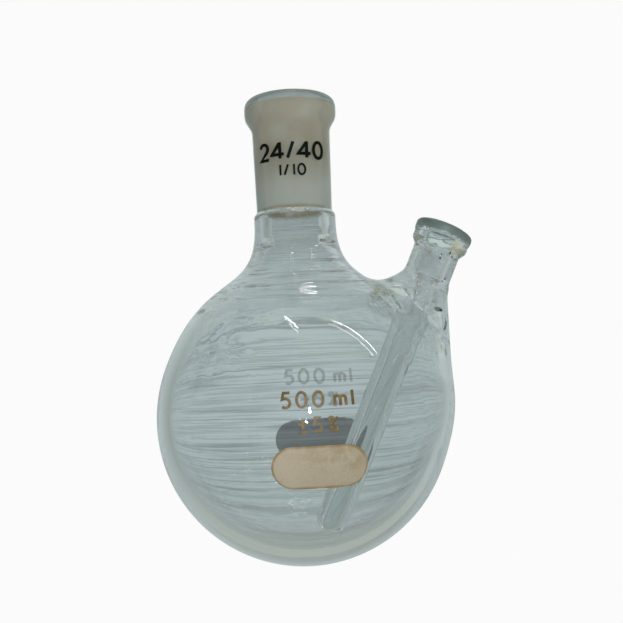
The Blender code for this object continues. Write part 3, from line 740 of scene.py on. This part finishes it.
class Finish:
    """A material or world, and what adds nodes to it."""

    def __init__(self, holder, space="Object"):
        self.holder = holder
        holder.use_nodes = True
        self.tree = holder.node_tree
        self.tree.nodes.clear()
        self.place = self.node("ShaderNodeTexCoord").outputs[space]

    def node(self, kind, inputs=None, **settings):
        """A new node: its settings first, then the values or links of its sockets."""
        made = self.tree.nodes.new(kind)
        for name, setting in settings.items():
            setattr(made, name, setting)
        for key, value in (inputs or {}).items():
            self.feed(made.inputs[key], value)
        return made

    def feed(self, socket, value):
        if isinstance(value, Value):
            self.tree.links.new(value.socket, socket)
        elif isinstance(value, bpy.types.NodeSocket):
            self.tree.links.new(value, socket)
        elif socket.type == "RGBA":
            socket.default_value = (*value, 1.0)
        else:
            socket.default_value = value

    def value(self, kind, inputs=None, output=0, **settings):
        return Value(self, self.node(kind, inputs, **settings).outputs[output])

    def mixed(self, mask, first, second):
        """A colour between two, by a mask."""
        inputs = {"Factor": mask, 6: first, 7: second}
        return self.node("ShaderNodeMix", inputs, data_type="RGBA").outputs[2]

    def parts(self):
        """The place's x, y and z."""
        split = self.node("ShaderNodeSeparateXYZ", {0: self.place})
        return [Value(self, output) for output in split.outputs]

    def noise(self, scale, detail, roughness=0.5, stretch=(1.0, 1.0, 1.0), turn=0.0):
        """Noise from 0 to 1, with a scale in waves per metre, stretched and turned about Y."""
        inputs = {"Vector": self.place, "Rotation": (0.0, turn, 0.0), "Scale": stretch}
        place = self.node("ShaderNodeMapping", inputs).outputs[0]
        inputs = {"Vector": place, "Scale": scale, "Detail": detail, "Roughness": roughness}
        return self.value("ShaderNodeTexNoise", inputs, normalize=True)

    def near(self, centre, reach):
        """1 at a place and 0 past a reach from it."""
        inputs = {0: self.place, 1: centre}
        away = self.value("ShaderNodeVectorMath", inputs, 1, operation="DISTANCE")
        return away.below(0.0, reach)

    def bump(self, height, distance, strength):
        inputs = {"Height": height, "Distance": distance, "Strength": strength}
        return self.node("ShaderNodeBump", inputs).outputs[0]

    def shaded(self, inputs):
        return self.shown(self.node("ShaderNodeBsdfPrincipled", inputs))

    def covered(self, mask, clear, cover):
        """Clear glass with something dull on it, by a mask."""
        first = self.node("ShaderNodeBsdfPrincipled", clear)
        second = self.node("ShaderNodeBsdfPrincipled", cover)
        return self.shown(self.either(mask, first, second))

    def either(self, mask, first, second):
        inputs = {0: mask, 1: first.outputs[0], 2: second.outputs[0]}
        return self.node("ShaderNodeMixShader", inputs)

    def lit(self, kind, tint, strength):
        return self.node(kind, {"Color": tint, "Strength": strength})

    def shown(self, shader, output="ShaderNodeOutputMaterial"):
        """Join a shader to the output, and give back the material or world."""
        self.node(output, {"Surface": shader.outputs[0]})
        return self.holder


# Finishes ------


def finish_named(name):
    return Finish(bpy.data.materials.new(name))


def scaled(tone, times):
    return tuple(times * part for part in tone)


def dull_inputs(tint, roughness, normal):
    return {"Base Color": tint, "Roughness": roughness, "Normal": normal}


def glass_inputs(*inputs):
    return {**dull_inputs(*inputs), "IOR": GLASS_IOR, "Transmission Weight": 1.0}


def spots(finish, regions):
    """A mask of some round regions, stronger at their middles."""
    return sum(finish.near(centre, reach) for centre, reach in regions)


def clear_inputs(finish, look):
    """Clear blown glass: faint waves, lines turned into the shoulder, and worked places."""
    cloud = finish.noise(90.0, 3.0)
    streaks = finish.noise(24.0, 3.0, stretch=(1.0, 1.0, 26.0), turn=0.03)
    wave = finish.noise(42.0, 1.0)
    height = finish.parts()[2]
    low_end, high_end = TURNED_ZONE
    shoulder = height.above(*low_end) * height.below(*high_end)
    turned = finish.noise(1.0, 3.0, stretch=(32.0, 32.0, 480.0))
    worked = finish.noise(1.0, 0.6, stretch=(170.0, 170.0, 290.0), turn=-0.4)
    rough = sum(finish.near(centre, reach) * rise for centre, reach, rise in WORKED)
    relief = streaks * STREAK_RELIEF + wave * WAVE_RELIEF
    relief = relief + shoulder * turned * TURNED_RELIEF + rough * worked
    tint = finish.mixed(cloud * 0.5, look.glass, scaled(look.glass, 0.97))
    return glass_inputs(tint, cloud * 0.01, finish.bump(relief, 0.25 * MM, 0.35))


def glass_finish(look):
    finish = finish_named("clear_glass")
    return finish.shaded(clear_inputs(finish, look))


def stain_finish(look):
    """Glass with old rust, a few dark specks and a dull green film on it."""
    finish = finish_named("stained_glass")
    cells = {"Vector": finish.place, "Scale": 430.0, "Randomness": 1.0}
    cell = finish.value("ShaderNodeTexVoronoi", cells, feature="F1")
    patchy = finish.noise(330.0, 5.0, 0.65)
    rust = spots(finish, RUST).above(0.05, 0.6) * (patchy.above(0.3, 0.6) * 0.3 + 0.25)
    specks = spots(finish, SPECKS).above(0.03, 0.25) * cell.below(0.22, 0.30)
    film = spots(finish, OLIVE).above(0.05, 0.8) * patchy.above(0.40, 0.62) * 0.7
    tint = finish.mixed(patchy.above(0.55, 0.68), look.film, look.stain)
    tint = finish.mixed(film.above(0.0, 0.3), tint, look.olive)
    tint = finish.mixed(specks, tint, look.speck)
    dirt = dull_inputs(tint, 0.8, finish.bump(patchy, 0.1 * MM, 0.5))
    return finish.covered(rust + specks * 0.9 + film, clear_inputs(finish, look), dirt)


def lip_masks(finish):
    """Masks of both lips, the side one and the upright one, down to where their dull bands of
    painted shade end.
    """
    inputs = {0: finish.place, 1: tuple(SIDE_MOUTH)}
    away = finish.node("ShaderNodeVectorMath", inputs, operation="SUBTRACT")
    inputs = {0: away.outputs[0], 1: tuple(SIDE_AXIS)}
    height = finish.value("ShaderNodeVectorMath", inputs, 1, operation="DOT_PRODUCT")
    x, _, z = finish.parts()
    past_bulb = x.above(LIP_START_X - 10.0 * MM, LIP_START_X)
    side = height.above(-LIP_DEPTH, 0.3 * MM - LIP_DEPTH) * past_bulb
    return side, z.above(JOINT_HIGH.z - 0.2 * MM, JOINT_HIGH.z + 0.3 * MM)


def lip_painted_shade_finish(look):
    """Fire-polished lips with a dull cover painted dark grey-green as shade, for the dark band
    that thick glass shows edge-on; faintly clouded and a little stained.
    """
    finish = finish_named("lip_glass_painted_shade")
    side, upright = lip_masks(finish)
    # The band that gets the dull cover of painted shade: the side one in full, the upright one at
    # half.
    dull = side + upright * 0.5
    cloud = finish.noise(190.0, 4.0)
    grain = finish.noise(1500.0, 3.0)
    bump = finish.bump(cloud + grain * 0.3, 0.10 * MM, 0.3)
    # The cover's dark grey-green is painted shade for the dark band of edge-on glass, faintly
    # clouded.
    tint = finish.mixed(cloud.above(0.32, 0.68), look.lip_painted_shade, scaled(look.lip_painted_shade, 0.8))
    painted_shade_cover = dull_inputs(tint, grain * 0.15 + 0.30, bump)
    # The glass in the band is tinted darker too, as painted shade.
    tint = finish.mixed(dull, look.glass, look.lip_glass_painted_shade)
    clear = glass_inputs(tint, dull * 0.45 + cloud * 0.02, bump)
    return finish.covered(dull * look.lip_shade_share, clear, painted_shade_cover)


def ground_finish(look):
    """The joint's ground bore: scattering, warm with old grease, and rusty at its foot."""
    finish = finish_named("ground_glass")
    z = finish.parts()[2]
    foot, top = NECK_HIGH.z, JOINT_HIGH.z
    edge = finish.noise(500.0, 3.0) * (0.9 * MM)
    ground = (z + edge).above(foot - 0.1 * MM, foot + 0.5 * MM) * z.below(top, top + 0.8 * MM)
    grain = finish.noise(2600.0, 3.0)
    cloud = finish.noise(110.0, 4.0)
    grease = z.above(top - 34.0 * MM, top - 18.0 * MM) * (cloud.above(0.30, 0.62) * 0.5 + 0.5)
    tint = finish.mixed(grease, look.ground, look.grease)
    tint = finish.mixed(grain.above(0.3, 0.8) * 0.25, tint, scaled(look.ground, 0.7))
    ring = z.above(foot + 0.2 * MM, foot + 1.0 * MM) * z.below(foot + 1.4 * MM, foot + 3.4 * MM)
    rust = ring * finish.noise(170.0, 4.0).above(0.40, 0.60)
    tint = finish.mixed(rust * 0.8, tint, look.stain)
    bump = finish.bump(grain, 0.06 * MM, 0.5)
    clear = glass_inputs(look.glass, ground * 0.75, bump)
    return finish.covered(ground * look.ground_share, clear, dull_inputs(tint, 0.9, bump))


def enamel_finish(name, tone, look, wear, roughness, gloss):
    """Fired enamel: slightly uneven colour, small bare spots and a fine raised grain."""
    finish = finish_named(name)
    cloud = finish.noise(700.0, 3.0)
    worn = finish.noise(2600.0, 4.0, 0.7).above(0.60, 0.72) * wear
    tint = finish.mixed(cloud.above(0.40, 0.72) * 0.8, tone, scaled(tone, 2.2))
    tint = finish.mixed(worn, tint, look.worn)
    inputs = dull_inputs(tint, cloud * 0.2 + roughness, finish.bump(cloud, 0.04 * MM, 0.4))
    inputs["Specular IOR Level"] = gloss
    return finish.shaded(inputs)


def patch_finish(look):
    """Cream enamel with a thin brown outline, dirtier towards its upper right."""
    finish = finish_named("writing_patch_enamel")
    low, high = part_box(PATCH)
    centre = (low + high) / 2
    x, _, z = finish.parts()
    half_height = (high.z - low.z) / 2
    straight = (high.x - low.x) / 2 - half_height
    along = x - centre.x
    past = (abs(along) - straight).at_least(0.0)
    up = z - centre.z
    from_middle = (past * past + up * up) ** 0.5
    outline = from_middle.above(half_height - 1.0 * MM, half_height - 0.2 * MM)
    grain = finish.noise(2400.0, 4.0)
    cloud = finish.noise(120.0, 3.0)
    blotch = finish.noise(330.0, 3.0, 0.6)
    tint = finish.mixed(grain.above(0.35, 0.75), look.cream, scaled(look.cream, 0.82))
    dirt = (along * 0.5 + up).above(-6.0 * MM, 9.0 * MM)
    dirt = dirt * cloud.above(0.30, 0.60) * blotch.above(0.3, 0.6)
    pale = along.below(-12.0 * MM, 2.0 * MM) * cloud.above(0.35, 0.60)
    tint = finish.mixed(pale * 0.35, tint, look.patch_pale)
    tint = finish.mixed(dirt * 0.6, tint, look.patch_dirt)
    edge = outline * (blotch.above(0.3, 0.6) * 0.4 + 0.5)
    tint = finish.mixed(edge, tint, look.patch_edge)
    inputs = dull_inputs(tint, grain * 0.2 + 0.5, finish.bump(grain, 0.05 * MM, 0.5))
    return finish.shaded(inputs)


# Stage ------


def dimmed(mask, loss):
    """1 where a mask is 0, and less by the loss where it is 1."""
    return 1.0 - mask * loss


def thin_lines(finish, stretch, tilt, detail, width):
    """0 on thin, nearly level lines and 1 between them."""
    from_middle = finish.noise(1.0, detail, stretch=stretch, turn=tilt) - 0.5
    return abs(from_middle).above(0.1 * width, width)


def surround_world(look):
    """A white room for the camera, and a grey one with level lines for the glass."""
    world = bpy.data.worlds.new("surround")
    bpy.context.scene.world = world
    finish = Finish(world, "Generated")
    side, back, up = finish.parts()
    # How far a direction turns from straight back, to a side or to the front.
    turned = abs(side).at_least(0.0 - back)
    outer = turned.above(0.848, 0.858)
    rim = turned.above(0.850, 0.870) * turned.below(0.885, 0.94)
    inner = turned.below(0.60, 0.80)
    bold = thin_lines(finish, (0.8, 0.8, 34.0), 0.045, 1.0, 0.045)
    fine = thin_lines(finish, (1.6, 1.6, 130.0), 0.03, 2.0, 0.08)
    broad = finish.noise(3.0, 2.0)
    right = dimmed(side.above(-0.02, 0.14), 0.10)
    top = dimmed(up.above(0.03, 0.14), 0.16)
    foot = dimmed(up.below(-0.16, -0.05), 0.10)
    left = dimmed(side.below(-0.8, -0.2), 0.22)
    top_light = up.above(0.02, 0.25) * side.above(-0.6, -0.2) * 0.18 + 1.0
    striped = (bold * 0.26 + 0.78) * (fine * 0.13 + 0.88) * right * top * foot
    tone = outer * striped + (1.0 - outer) * (inner * 0.22 + 0.98)
    tone = tone * (broad * 0.12 + 0.95) * dimmed(rim, 0.05) * left * top_light
    tint = finish.mixed(outer, look.surround_back, look.surround)
    tint = finish.mixed(rim * 0.6, tint, look.surround_rim)
    tint = finish.mixed(up.below(-0.75, -0.2) * 0.7, tint, look.surround_low)
    seen = finish.node("ShaderNodeLightPath").outputs["Is Camera Ray"]
    grey = finish.lit("ShaderNodeBackground", tint, tone)
    pale = finish.lit("ShaderNodeBackground", 3 * (look.pale,), 1.0)
    finish.shown(finish.either(seen, grey, pale), "ShaderNodeOutputWorld")


def card_finish(name, look, light):
    """A glowing grey card with thin level lines, darker to the right and towards its ends."""
    finish = finish_named(name)
    side, _, up = finish.parts()
    bold = thin_lines(finish, (4.0, 4.0, 220.0), look.line_tilt, 1.0, 0.04)
    fine = thin_lines(finish, (7.0, 7.0, 640.0), look.line_tilt, 1.5, 0.09)
    broad = finish.noise(9.0, 2.0)
    right = dimmed(side.above(-0.01, 0.055), 0.10)
    top = dimmed(up.above(0.097, 0.125), 0.26)
    foot = dimmed(up.below(0.005, 0.05), 0.10)
    tone = (bold * 0.28 + 0.765) * (fine * 0.24 + 0.83) * (broad * 0.14 + 0.93)
    tone = tone * light * right * top * foot
    tint = finish.mixed(up.below(-0.05, 0.012) * 0.8, look.surround, look.surround_low)
    return finish.shown(finish.lit("ShaderNodeEmission", tint, tone))


def linked(name, data):
    """A new object in the scene."""
    thing = bpy.data.objects.new(name, data)
    bpy.context.scene.collection.objects.link(thing)
    return thing


def unseen_by(thing, *rays):
    for ray in rays:
        setattr(thing, "visible_" + ray, False)


def flat_piece(name, points, faces, material):
    """A stage piece made of flat faces."""
    mesh = bpy.data.meshes.new(name)
    mesh.from_pydata(points, [], faces)
    mesh.materials.append(material)
    piece = linked(name, mesh)
    return piece


def behind_glass(name, points, faces, material):
    """A stage piece that shows only through the glass."""
    piece = flat_piece(name, points, faces, material)
    unseen_by(piece, "camera", "glossy", "diffuse", "shadow")


def thrown_shape(nodes, lamp, depth):
    """Some nodes' shapes, thrown from a lamp onto an upright plane."""
    points, faces = [], []
    for node in nodes:
        data = frame["nodes"][node].data
        places = np.array([tuple(vert.co) for vert in data.vertices])
        grown = (depth - lamp[1]) / (places[:, 1] - lamp[1])
        faces += [[len(points) + index for index in face.vertices] for face in data.polygons]
        points += (lamp + grown[:, None] * (places - lamp)).tolist()
    return points, faces


def striped_card(look):
    """The grey card close behind the flask, with the shadows of the marks on it."""
    half_width, middle, high = CARD_STEM
    turns = np.linspace(0.0, math.tau, CARD_CORNERS + 1)[:-1]
    reach = np.interp(turns, np.radians(CARD_TURNS), CARD_REACH)
    corners = list(zip(reach * np.cos(turns), middle + reach * np.sin(turns)))
    corners += [(-half_width, middle), (half_width, middle)]
    corners += [(half_width, high), (-half_width, high)]
    places = [(x, CARD_DEPTH, z) for x, z in corners]
    outlines = [range(CARD_CORNERS), range(CARD_CORNERS, len(corners))]
    behind_glass("card", places, outlines, card_finish("striped_card", look, 1.0))
    lamp = np.array(look.shadow_lamp)
    depth = CARD_DEPTH - 0.3 * MM
    for (name, light), nodes in zip(SHADES.items(), (mark_nodes(BULB_MARKS), [PATCH])):
        behind_glass(name, *thrown_shape(nodes, lamp, depth), card_finish(name, look, light))


def pale_floor(look):
    """A pale floor that glows as white as the room does."""
    finish = finish_named("pale_floor")
    finish.shown(finish.lit("ShaderNodeEmission", 3 * (look.pale,), 1.0))
    reach = 2.5
    corners = [(reach * x, reach * y, 0.0) for x, y in ((-1, -1), (1, -1), (1, 1), (-1, 1))]
    floor = flat_piece("floor", corners, [range(4)], finish.holder)
    floor.location.z = BULB_LOW.z - 0.2 * MM
    unseen_by(floor, "transmission", "glossy", "diffuse")


def strip_light(name, start, end, width, power, on_dull):
    """A lamp that reaches from one place to another and faces the flask."""
    start, end = Vector(start), Vector(end)
    data = bpy.data.lights.new(name, "AREA")
    data.shape = "RECTANGLE"
    data.size = (end - start).length
    data.size_y = width
    data.energy = power
    light = linked(name, data)
    middle = (start + end) / 2
    along = (end - start).normalized()
    across = (middle - LAMP_TARGET).cross(along).normalized()
    turn = Matrix((along, across, along.cross(across))).transposed().to_4x4()
    light.matrix_world = Matrix.Translation(middle) @ turn
    light.visible_camera = False
    light.visible_diffuse = on_dull


def stage_camera(look):
    data = bpy.data.cameras.new("view")
    data.sensor_fit = "HORIZONTAL"
    data.sensor_width = 36.0
    data.lens = look.camera_lens
    data.clip_start = 0.01
    camera = linked("view", data)
    upright = Euler((math.pi / 2 + look.camera_pitch, 0.0, 0.0)).to_matrix().to_4x4()
    roll = Matrix.Rotation(-look.camera_roll, 4, "Z")
    camera.matrix_world = Matrix.Translation(look.camera_place) @ upright @ roll
    bpy.context.scene.camera = camera


# Operators ------


def set_finish(node, material):
    piece = frame["nodes"][node]
    piece.data.materials.clear()
    piece.data.materials.append(material)


def mark_nodes(starts):
    return sorted(name for name in frame["nodes"] if name.startswith(starts))


def finish_marks(starts, material):
    for node in mark_nodes(starts):
        set_finish(node, material)


class FLASK_OT_glass(bpy.types.Operator):
    """Build the fused glass of bulb, necks and thermometer well"""

    bl_idname = "flask.glass"
    bl_label = "Glass"

    def execute(self, context):
        shape = context.scene.flask_shape
        bends = (math.radians(7.0), math.radians(9.0))
        mesh = field_mesh("flask_glass", FlaskField(shape), *CAD_BOX, shape.net_step, bends)
        glass = linked("flask_glass", mesh)
        for finish in (glass_finish, ground_finish, lip_painted_shade_finish, stain_finish):
            mesh.materials.append(finish(context.scene.flask_finish))
        centres = face_centres(mesh)
        lips = lip_faces(centres, shape)
        marked = ground_faces(centres, shape) + 2 * lips + 3 * (stained_faces(centres) & ~lips)
        mesh.polygons.foreach_set("material_index", marked.astype(np.int32))
        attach(glass, "root")
        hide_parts(*UPRIGHT_NODES, *SIDE_NODES)
        return {"FINISHED"}


class FLASK_OT_bulb_marks(bpy.types.Operator):
    """Finish the volume and tolerance marks on the bulb"""

    bl_idname = "flask.bulb_marks"
    bl_label = "Bulb marks"

    def execute(self, context):
        look = context.scene.flask_finish
        wear = {"wear": 0.6, "roughness": 0.35, "gloss": 0.25}
        finish_marks(BULB_MARKS, enamel_finish("brown_enamel", look.brown, look, **wear))
        return {"FINISHED"}


class FLASK_OT_joint_marks(bpy.types.Operator):
    """Finish the size and taper marks on the joint"""

    bl_idname = "flask.joint_marks"
    bl_label = "Joint marks"

    def execute(self, context):
        look = context.scene.flask_finish
        wear = {"wear": 0.1, "roughness": 0.3, "gloss": 0.06}
        finish_marks(JOINT_MARKS, enamel_finish("black_enamel", look.black, look, **wear))
        return {"FINISHED"}


class FLASK_OT_patch(bpy.types.Operator):
    """Finish the writing patch"""

    bl_idname = "flask.patch"
    bl_label = "Writing patch"

    def execute(self, context):
        set_finish(PATCH, patch_finish(context.scene.flask_finish))
        return {"FINISHED"}


class FLASK_OT_stage(bpy.types.Operator):
    """Set up the floor, the room, the lamps and the camera"""

    bl_idname = "flask.stage"
    bl_label = "Stage"

    def execute(self, context):
        look = context.scene.flask_stage
        context.scene.view_settings.view_transform = "Standard"
        for kind, most in BOUNCES.items():
            setattr(context.scene.cycles, kind + "_bounces", most)
        surround_world(look)
        pale_floor(look)
        striped_card(look)
        for lamp in LAMPS:
            strip_light(*lamp)
        stage_camera(look)
        return {"FINISHED"}


class FLASK_PT_panel(bpy.types.Panel):
    """Lists what builds the flask"""

    bl_idname = "FLASK_PT_panel"
    bl_label = "Boiling flask"
    bl_space_type = "VIEW_3D"
    bl_region_type = "UI"
    bl_category = "Flask"

    def draw(self, context):
        for operator in OPERATORS:
            self.layout.operator(operator.bl_idname)
        for group, kind in GROUPS.items():
            box = self.layout.box()
            for name in kind.__annotations__:
                box.prop(getattr(context.scene, group), name)


OPERATORS = (
    FLASK_OT_glass,
    FLASK_OT_bulb_marks,
    FLASK_OT_joint_marks,
    FLASK_OT_patch,
    FLASK_OT_stage,
)
GROUPS = {"flask_shape": FlaskShape, "flask_finish": FlaskFinish, "flask_stage": FlaskStage}
CLASSES = (*GROUPS.values(), *OPERATORS, FLASK_PT_panel)


def register():
    for kind in CLASSES:
        bpy.utils.register_class(kind)
    for name, group in GROUPS.items():
        setattr(bpy.types.Scene, name, PointerProperty(type=group))


def unregister():
    for name in GROUPS:
        delattr(bpy.types.Scene, name)
    for kind in reversed(CLASSES):
        bpy.utils.unregister_class(kind)


def main():
    register()
    bpy.ops.flask.glass()
    bpy.ops.flask.bulb_marks()
    bpy.ops.flask.joint_marks()
    bpy.ops.flask.patch()
    bpy.ops.flask.stage()


if __name__ == "__main__":
    main()
